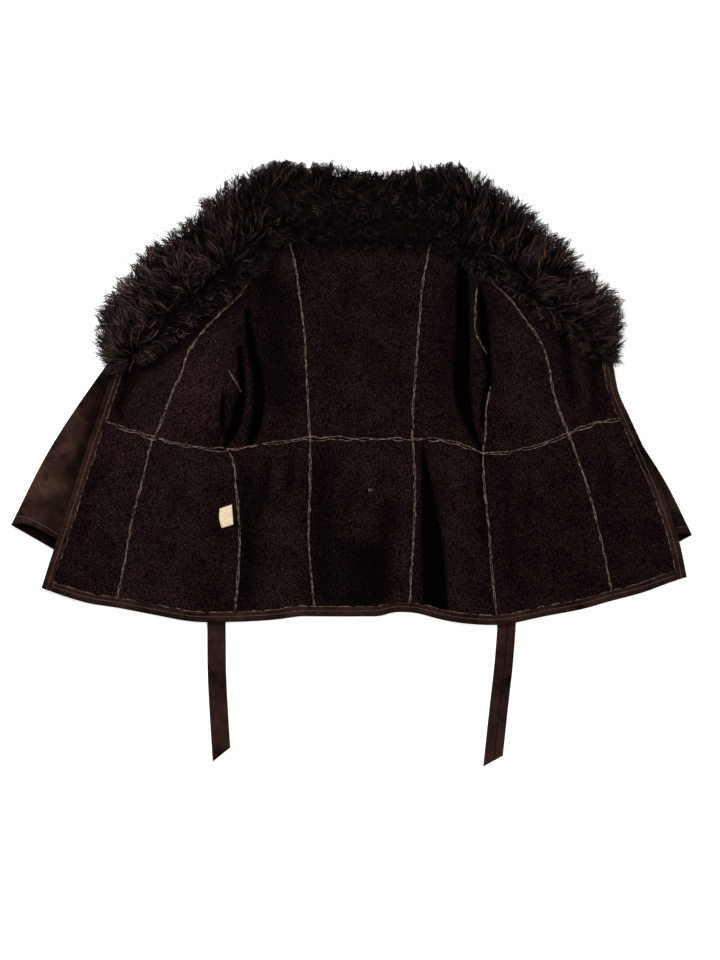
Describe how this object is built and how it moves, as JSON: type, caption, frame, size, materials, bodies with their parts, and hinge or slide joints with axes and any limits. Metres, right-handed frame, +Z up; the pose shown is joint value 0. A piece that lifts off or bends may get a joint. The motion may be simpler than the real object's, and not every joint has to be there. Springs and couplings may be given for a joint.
{
  "type": "shearling coat",
  "caption": "Short shearling coat laid open on its back, fleece side up, with a wide spread curly fur collar, flared panelled skirt and a loose suede tie belt.",
  "frame": {"origin": "middle of the laid-out coat's outline, on the surface it lies on", "axes": "+X towards the wearer's left side (right in a view from above), +Y from the hem towards the collar, +Z up out of the surface"},
  "size_m": [1.36, 1.203, 0.0623],
  "materials": {
    "fleece": "sheared fleece, very dark brown",
    "suede": "matt brown suede",
    "belt_suede": "matt dark brown suede",
    "fur": "long curly fur, very dark brown",
    "label_cloth": "woven tape, cream"
  },
  "bodies": {
    "root": {"front_centre_upper_right": "fleece", "front_side_upper_right": "fleece", "back_side_upper_right": "fleece", "back_centre_upper": "fleece", "back_side_upper_left": "fleece", "front_side_upper_left": "fleece", "front_centre_upper_left": "fleece", "front_centre_skirt_right": "fleece", "front_side_skirt_right": "fleece", "back_side_skirt_right": "fleece", "back_centre_skirt": "fleece", "back_side_skirt_left": "fleece", "front_side_skirt_left": "fleece", "front_centre_skirt_left": "fleece", "sleeve_right": "suede", "sleeve_left": "suede", "edge_band_upper_right": "suede", "edge_band_skirt_right": "suede", "edge_band_upper_left": "suede", "edge_band_skirt_left": "suede", "front_centre_hem_band_right": "suede", "front_side_hem_band_right": "suede", "back_side_hem_band_right": "suede", "back_centre_hem_band": "suede", "back_side_hem_band_left": "suede", "front_side_hem_band_left": "suede", "front_centre_hem_band_left": "suede", "belt": "belt_suede", "collar_right": "fur", "collar_back": "fur", "collar_left": "fur", "care_label": "label_cloth"}
  },
  "joints": []
}
